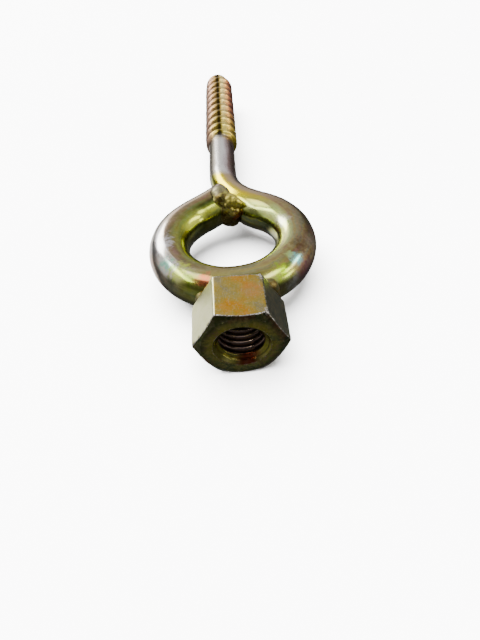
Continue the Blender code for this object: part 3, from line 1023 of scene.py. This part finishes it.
    def coped_ring(self, inset: float, back: float, share: float = 1.0) -> Array:
        """Ring of points where the free end's surface meets the neck.

        Args:
            inset: How far inside the bar's surface the ring lies.
            back: How far it stays behind the meeting line.
            share: Share of the way from the start of the free end.

        Returns:
            Points about the eye's centre.
        """
        angle = TURN * np.arange(self.sides) / self.sides
        side = np.cross(self.eye_heading(self.close), UP)
        spokes = (np.sin(angle)[:, None] * side + np.cos(angle)[:, None] * UP) * (self.bar_r - inset)
        lengths = np.linspace(0.0, self.close_length, 160)
        grid = self.free_end(lengths)[:, None, :] + spokes[None]
        open_way = np.cumprod(self.clear_of_neck(grid) >= self.gap, axis=0)
        clear = np.maximum(lengths[np.maximum(open_way.sum(0) - 1, 0)], 0.3 * MM)
        kernel = np.ones(5) / 5
        clear = np.convolve(np.concatenate([clear[-2:], clear, clear[:2]]), kernel, "valid")
        reach = np.maximum(clear - back, 0.2 * MM) * share
        return self.free_end(reach) + spokes

    def build(self, sweep: RidgedSweep, finish: bpy.types.Material) -> bpy.types.Object:
        """Make the bar.

        Args:
            sweep: The sweep's node tree.
            finish: The plating.

        Returns:
            The finished piece.
        """
        stations = self.stations()
        rings = sweep.rings("bar_path", stations, finish, self.sides, self.crest_r - self.root_r, 0.2, 0.34)
        rows, around = rings["points"], rings["around"]
        for k in range(self.end_rows):
            rows[k - self.end_rows] = self.coped_ring(0.0, self.end_round, (k + 1) / self.end_rows) + self.eye
        curve = np.linspace(0.2, math.pi / 2, self.cap_rows)
        caps = [self.coped_ring(self.end_round * (1 - math.cos(c)), self.end_round * (1 - math.sin(c))) for c in curve]
        caps += [self.coped_ring(self.bar_r * share, 0.0) for share in (0.45, 0.7, 0.88)]
        rows = np.concatenate([rows, np.array(caps) + self.eye])
        extra = len(caps)
        around = np.concatenate([around, np.repeat(around[-1:], extra, axis=0)])
        ridge = np.concatenate([rings["ridge"], np.zeros((extra, self.sides))])
        rows = self._worn(rows)
        along = np.concatenate([rings["along"], np.repeat(rings["along"][-1:], extra, axis=0)])
        section = np.stack([np.sin(around), np.cos(around), along], axis=-1)
        hubs = (self.shank_point(self.thread_end) + self.eye, rows[-1].mean(0))
        mesh = grid_mesh("eye_bar_form", rows, {"section": section, "ridge": ridge}, hubs)
        return place_piece("bent_bar", mesh, finish, "eye_bar")

    @staticmethod
    def _worn(rows: Array) -> Array:
        """Slight unevenness left by bending and rolling.

        Args:
            rows: Rings of points.

        Returns:
            The rings with their unevenness.
        """
        centre = rows.mean(axis=1, keepdims=True)
        lump = np.array([[noise.noise(Vector(p) * 210.0) for p in ring[::4]] for ring in rows])
        lump = np.repeat(lump, 4, axis=1)
        lump = (lump + np.roll(lump, 1, 1) + np.roll(lump, 2, 1) + np.roll(lump, 3, 1)) / 4
        return rows + unit(rows - centre) * (lump * 0.05 * MM)[..., None]


# ---- The nut -------------------------------------------------------------
@dataclass
class HexNut:
    """Tapped hexagon nut with chamfered corners at its mouth."""

    near_y: float
    far_y: float
    across_flats: float = 19.0 * MM
    roll: float = math.radians(2.7)
    face_ratio: float = 0.95
    chamfer: float = math.radians(30.0)
    thread_r: float = 6.0 * MM
    minor_r: float = 5.053 * MM
    pitch: float = 1.75 * MM
    sink_r: float = 6.35 * MM
    worn: float = 62.0
    sides: int = 360
    eye_y: float = 0.0

    def hex_radius(self, angle: Array) -> Array:
        """Distance to the hexagon's outline, with slightly worn corners.

        Args:
            angle: Angles round the nut's axis.

        Returns:
            A distance for each angle.
        """
        turned = angle[..., None] - self.roll - math.pi / 3 * np.arange(6)
        reach = (np.clip(np.cos(turned), 0.0, None) ** self.worn).sum(-1) ** (1 / self.worn)
        return self.across_flats / 2 / reach

    def bore(self, sweep: RidgedSweep, finish: bpy.types.Material) -> dict[str, Array]:
        """Rings of the tapped and countersunk bore, from its far end to its mouth.

        Args:
            sweep: The ridged sweep.
            finish: The nut's finish.

        Returns:
            The rings of the sweep.
        """
        y = np.linspace(self.far_y, self.near_y, 150)
        count = len(y)
        sink = np.clip(self.sink_r - (y - self.near_y), 0.0, None)
        stations = {"centre": np.stack([0 * y, y, 0 * y], -1), "heading": np.tile((0.0, -1.0, 0.0), (count, 1)),
                    "bar_radius": np.full(count, self.thread_r), "least_radius": sink,
                    "turns": (y - self.eye_y) / self.pitch, "swell": np.ones(count), "along": self.far_y - y}
        return sweep.rings("bore_path", stations, finish, self.sides, self.minor_r - self.thread_r, 0.22, 0.34)

    def build(self, sweep: RidgedSweep, finish: bpy.types.Material) -> bpy.types.Object:
        """Make the nut.

        Args:
            sweep: The sweep's node tree.
            finish: The plating.

        Returns:
            The finished piece.
        """
        bore = self.bore(sweep, finish)
        points = bore["points"]
        angle = np.arctan2(points[0, :, 0], points[0, :, 2])
        outline = self.hex_radius(angle)
        face = self.across_flats / 2 * self.face_ratio
        shoulder = self.near_y + (outline - face) * math.tan(self.chamfer)
        rows: list[tuple[Array, Array, float]] = []

        def ring(radius: Array | float, y: Array | float, wear: float = 0.0) -> None:
            """Add a row of the outline."""
            rows.append((radius + 0 * angle, y + 0 * angle, wear))

        for share in (0.04, 0.3, 0.6, 0.9, 0.97):
            ring(self.sink_r + (face - self.sink_r) * share, self.near_y, 0.6 if share == 0.04 else 0.0)
        ring(face - 0.02 * MM, self.near_y + 0.01 * MM, 0.5)
        for share in (0.12, 0.5, 0.86):
            ring(face + (outline - face) * share, self.near_y + (shoulder - self.near_y) * share, 0.3)
        ring(outline - 0.03 * MM, shoulder + 0.01 * MM, 1.0)
        length = self.far_y - shoulder
        for share in (0.012, 0.03, *np.linspace(0.08, 0.93, 22), 0.97, 0.988):
            ring(outline, shoulder + length * share, 1.0 if share in (0.012, 0.988) else 0.0)
        ring(outline - 0.04 * MM, self.far_y - 0.03 * MM, 1.0)
        first = np.hypot(points[0, :, 0], points[0, :, 2])
        for share in (0.04, 0.3, 0.6, 0.9):
            ring(outline + (first - outline) * share, self.far_y, 0.0)

        radius = np.array([r for r, _, _ in rows])
        height = np.array([y for _, y, _ in rows])
        shell = np.stack([radius * np.sin(angle), height, radius * np.cos(angle)], axis=-1)
        corner = np.clip((self.across_flats / 2 / np.cos(np.pi / 6) - outline) / (0.5 * MM), 0.0, 1.0)
        edge = (1.0 - corner) ** 2
        on_side = (radius > outline - 0.05 * MM)
        wear = np.maximum(np.array([w for _, _, w in rows])[:, None], edge[None] * on_side)
        shell, wear = self._dented(shell, wear)
        wear = np.concatenate([np.zeros(points.shape[:2]), wear])
        ridge = np.concatenate([bore["ridge"], np.zeros(shell.shape[:2])])
        mesh = grid_mesh("hex_nut_form", np.concatenate([points, shell]), {"wear": wear, "ridge": ridge})
        return place_piece("tapped_nut", mesh, finish, "hex_nut")

    def _dented(self, shell: Array, wear: Array) -> tuple[Array, Array]:
        """Nick the edges and bruise the two corners that have been struck.

        Args:
            shell: Points of the nut's outside.
            wear: How worn each point is, 0 to 1.

        Returns:
            The points and the wear, changed.
        """
        turn = self.roll + math.pi / 6
        corner = self.across_flats / 2 / math.cos(math.pi / 6)
        struck = [Vector((math.sin(turn) * corner, y, math.cos(turn) * corner))
                  for y in (self.near_y + 1.3 * MM, self.far_y - 0.6 * MM)]
        result = shell.copy()
        for k, j in np.ndindex(shell.shape[:2]):
            spot = Vector(shell[k, j])
            near = max(math.exp(-((spot - s).length / (1.5 * MM)) ** 2) for s in struck)
            if wear[k, j] < 0.05 and near < 0.05:
                continue
            wear[k, j] = max(wear[k, j], 0.8 * near)
            nick = max(0.0, noise.noise(spot * 900.0)) * 0.22 * wear[k, j]
            bruise = (0.3 + noise.noise(spot * 1500.0)) * 0.42 * near
            inward = -Vector((spot.x, 0.0, spot.z)).normalized()
            result[k, j] += np.array(inward) * (nick + bruise) * MM
        return result, wear


# ---- The welds -----------------------------------------------------------
@dataclass(frozen=True)
class Lump:
    """An ellipsoid of weld metal."""

    centre: Point
    radii: Point


@dataclass
class WeldBead:
    """Lumps of weld metal that have run together."""

    name: str
    node: str
    lumps: tuple[Lump, ...]
    roughness: float = 0.05 * MM
    grain: float = 300.0
    voxel: float = 0.14 * MM
    smoothing: int = 24

    def build(self, finish: bpy.types.Material) -> bpy.types.Object:
        """Make the bead.

        Args:
            finish: The weld's finish.

        Returns:
            The finished piece.
        """
        raw = bmesh.new()
        for lump in self.lumps:
            place = Matrix.Translation(lump.centre) @ Matrix.Diagonal((*lump.radii, 1.0))
            bmesh.ops.create_icosphere(raw, subdivisions=4, radius=1.0, matrix=place)
        data = bpy.data.meshes.new(self.name + "_raw")
        raw.to_mesh(data)
        raw.free()
        carrier = linked(self.name + "_raw", data)
        fuse = carrier.modifiers.new("fuse", "REMESH")
        fuse.mode, fuse.voxel_size = "VOXEL", self.voxel
        settle = carrier.modifiers.new("settle", "SMOOTH")
        settle.factor, settle.iterations = 0.5, self.smoothing
        mesh = settled(carrier)
        mesh.name = self.name + "_form"
        for vertex, normal in zip(mesh.vertices, [v.normal.copy() for v in mesh.vertices]):
            swell = noise.noise(vertex.co * self.grain) + 0.4 * noise.noise(vertex.co * self.grain * 2.3)
            vertex.co += normal * swell * self.roughness
        mesh.shade_smooth()
        return place_piece(self.name, mesh, finish, self.node)


# ---- The studio ----------------------------------------------------------
@dataclass(frozen=True)
class SoftLight:
    """A rectangular soft light that faces the object."""

    name: str
    azimuth: float
    elevation: float
    width: float
    height: float
    radiance: float
    colour: Point
    distance: float = 0.7

    def place(self, target: Vector) -> None:
        """Hang the light; its azimuth counts from +Y towards +X, in degrees.

        Args:
            target: What the light looks at.
        """
        away = bearing(self.azimuth, self.elevation)
        lamp = bpy.data.lights.new(self.name, "AREA")
        lamp.shape, lamp.size, lamp.size_y = "RECTANGLE", self.width, self.height
        lamp.energy = self.radiance * math.pi * self.width * self.height
        lamp.color = self.colour
        thing = linked(self.name, lamp)
        thing.location = target + away * self.distance
        thing.rotation_euler = away.to_track_quat("Z", "Y").to_euler()


@dataclass
class Studio:
    """Pale floor, soft lights and the camera."""

    floor_z: float
    target: Vector
    floor_radius: float = 6.0
    camera_place: Point = (0.424 * MM, -131.825 * MM, 74.237 * MM)
    camera_aim: Point = (0.106 * MM, -64.915 * MM, 0.0)
    camera_roll: float = math.radians(-5.83)
    lens: float = 24.75
    lights: tuple[SoftLight, ...] = (
        SoftLight("window", -36.0, 26.0, 0.3, 0.22, 9.0, (1.0, 0.99, 0.98)),
        SoftLight("left_bank", -83.0, 45.0, 0.56, 0.09, 7.0, (1.0, 1.0, 0.95)),
        SoftLight("high_left", -75.0, 65.0, 0.34, 0.26, 3.4, (1.0, 0.99, 0.94)),
        SoftLight("right_bank", 92.0, 33.0, 0.34, 0.1, 6.5, (1.0, 0.98, 0.95)),
        SoftLight("high_right", 111.0, 55.0, 0.24, 0.16, 4.5, (1.0, 0.98, 0.93)),
        SoftLight("low_right", 110.0, 15.0, 0.14, 0.08, 6.0, (1.0, 0.96, 0.9)),
    )
    fill_energy: float = 34.0
    fill_angle: float = math.radians(70.0)
    # The sky's own glow, its strength behind the object, and its lobes: azimuth, elevation, half widths of the
    # whole and of the core in degrees, and gain.
    glow: float = 0.09
    backdrop: float = 9.0
    lobes: tuple[tuple[float, float, float, float, float], ...] = (
        (0.0, 37.0, 50.0, 15.0, 0.65), (-39.0, -26.0, 22.0, 6.0, 1.9), (-26.0, 13.0, 20.0, 5.0, 1.6),
        (-78.0, 24.0, 32.0, 8.0, 0.85), (95.0, 35.0, 50.0, 12.0, 0.7), (76.0, 2.0, 44.0, 12.0, 0.26),
        (-115.0, -20.0, 45.0, 12.0, 0.22), (180.0, -40.0, 60.0, 20.0, 0.05),
    )

    def build(self) -> None:
        """Make everything that isn't the object."""
        self._floor()
        self._sky()
        for light in self.lights:
            light.place(self.target)
        fill = bpy.data.lights.new("floor_fill", "SUN")
        fill.energy, fill.angle = self.fill_energy, self.fill_angle
        lamp = linked("floor_fill", fill)
        lamp.rotation_euler = (math.radians(-10.0), math.radians(-12.0), 0.0)
        lamp.visible_glossy = False
        self._camera()

    def _floor(self) -> None:
        """A wide pale disc under the object."""
        disc = bmesh.new()
        bmesh.ops.create_circle(disc, cap_ends=True, segments=96, radius=self.floor_radius,
                                matrix=Matrix.Translation((0.0, 0.0, self.floor_z)))
        data = bpy.data.meshes.new("floor")
        disc.to_mesh(data)
        disc.free()
        material, tree, shader = new_material("pale_floor")
        cloud = tree.noise(tree.add("ShaderNodeTexCoord", output="Object"), 4.0)
        tint = tree.ramp(cloud, ((0.3, "f3f3f3"), (0.7, "f7f7f7")))
        tree.group.links.new(tint.socket, shader.inputs["Base Color"])
        shader.inputs["Roughness"].default_value = 0.9
        shader.inputs["Specular IOR Level"].default_value = 0.0
        data.materials.append(material)
        floor = linked("floor", data)
        floor.visible_glossy = False
        floor.visible_shadow = False

    def _sky(self) -> None:
        """Pale behind the object; dim in front and below, brighter overhead and behind."""
        world = bpy.data.worlds.new("studio")
        bpy.context.scene.world = world
        world.use_nodes = True
        tree = Tree(world.node_tree)
        back = world.node_tree.nodes["Background"]
        way = tree.add("ShaderNodeTexCoord", output="Generated")
        level: Signal | float = self.glow
        for azimuth, elevation, wide, narrow, gain in self.lobes:
            facing = tree.vector("DOT_PRODUCT", way, tuple(bearing(azimuth, elevation)), output="Value")
            level = level + tree.between(facing, math.cos(math.radians(wide)), math.cos(math.radians(narrow))) * gain
        seen = tree.add("ShaderNodeLightPath", output="Is Camera Ray")
        level = level * (1.0 - seen) + seen * self.backdrop
        tree.group.links.new(level.socket, back.inputs["Strength"])
        back.inputs["Color"].default_value = (1.0, 1.0, 1.0, 1.0)

    def _camera(self) -> None:
        """Camera at the object's viewing angle."""
        place, aim = Vector(self.camera_place), Vector(self.camera_aim)
        back = (place - aim).normalized()
        level = Vector((0.0, 0.0, 1.0)).cross(back).normalized()
        rise = back.cross(level)
        right = level * math.cos(self.camera_roll) + rise * math.sin(self.camera_roll)
        up = rise * math.cos(self.camera_roll) - level * math.sin(self.camera_roll)
        data = bpy.data.cameras.new("camera")
        data.lens, data.sensor_width, data.sensor_fit = self.lens, 36.0, "AUTO"
        data.clip_start, data.clip_end = 0.002, 50.0
        camera = linked("camera", data)
        camera.matrix_world = Matrix.Translation(place) @ Matrix((right, up, back)).transposed().to_4x4()
        bpy.context.scene.camera = camera


# ---- The object ----------------------------------------------------------
def eye_welds(eye: Array) -> tuple[WeldBead, ...]:
    """The beads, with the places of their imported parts.

    Args:
        eye: The eye's centre.

    Returns:
        The bead that closes the eye, then the nut's left and right ones.
    """
    def lump(x: float, y: float, z: float, rx: float, ry: float, rz: float) -> Lump:
        """A lump from sizes in millimetres, about the eye's centre."""
        place = eye + np.array((x, y, z)) * MM
        return Lump(tuple(float(c) for c in place), (rx * MM, ry * MM, rz * MM))

    closing = WeldBead("closing_weld", "eye_closure_weld", (
        lump(-0.4, 13.5, 0.6, 3.0, 2.3, 4.0), lump(0.6, 13.8, -1.4, 2.4, 2.0, 2.4),
        lump(-2.1, 16.9, 4.9, 2.9, 2.9, 2.6), lump(-1.5, 15.2, 5.0, 2.8, 2.4, 2.1),
        lump(0.6, 13.9, 4.9, 2.2, 1.8, 1.8), lump(-2.5, 14.9, 4.5, 2.3, 2.0, 1.6),
        lump(2.1, 12.9, 4.6, 1.6, 1.4, 1.4), lump(0.7, 12.8, 4.8, 1.4, 1.2, 1.2),
        lump(2.9, 13.0, 4.0, 1.2, 1.2, 1.2), lump(-1.6, 13.4, 4.6, 1.1, 0.9, 0.9),
        lump(-0.5, 12.5, 4.0, 0.9, 0.8, 0.9), lump(0.6, 12.0, 2.8, 0.9, 0.8, 0.9),
        lump(1.0, 11.7, 1.5, 0.8, 0.8, 0.8), lump(2.0, 12.5, 1.4, 1.3, 1.2, 1.7),
    ))
    beads = [closing]
    for name, node, side, top, wide in (("left_nut_weld", "nut_weld_left", -1, 0.35, 1.6),
                                        ("right_nut_weld", "nut_weld_right", 1, 0.75, 1.9)):
        lumps = [lump(side * (4.3 + 4.1 * math.cos(a) ** 0.7), -21.3 + 0.2 * math.sin(a * 5.0) * side,
                      6.2 * math.sin(a), wide, 1.8, 1.5)
                 for a in np.linspace(-0.8, top, 10)]
        beads.append(WeldBead(name, node, tuple(lumps), roughness=0.1 * MM))
    return tuple(beads)


def main() -> None:
    """Build the object and its studio."""
    logging.basicConfig(level=logging.INFO, format="%(name)s %(message)s")
    nut_low, nut_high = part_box("hex_nut")
    _, bar_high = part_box("eye_bar")
    eye = np.array([0.0, bar_high.y - EyeBar.thread_end, 0.0])
    bar = EyeBar(eye)
    sweep = RidgedSweep()
    Studio(nut_low.z, Vector((0.0, float(eye[1]), 0.0))).build()
    bar.build(sweep, BarPlating(float(eye[1]), bar.eye_r, bar.bar_r, bar.thread_start).build())
    nut = HexNut(nut_low.y, nut_high.y, eye_y=float(eye[1]))
    nut.build(sweep, NutPlating(nut.near_y, nut.across_flats / 2, nut.roll, nut.thread_r).build())
    closing, *sides = eye_welds(eye)
    # Warm place, bright place, and the grey place painted as the dome's reflection, on the closing weld.
    warm, bright, dull = (tuple(float(c) for c in eye + np.array(place) * MM)
                          for place in ((2.2, 12.4, 1.0), (2.2, 13.0, 5.2), (-2.6, 17.4, 6.6)))
    closing.build(WeldMetal("closing_weld_metal", warm, bright, dull).build())
    for bead in sides:
        bead.build(WeldMetal(bead.name + "_metal", pale="747450", roughness=0.5).build())


if __name__ == "__main__":
    main()
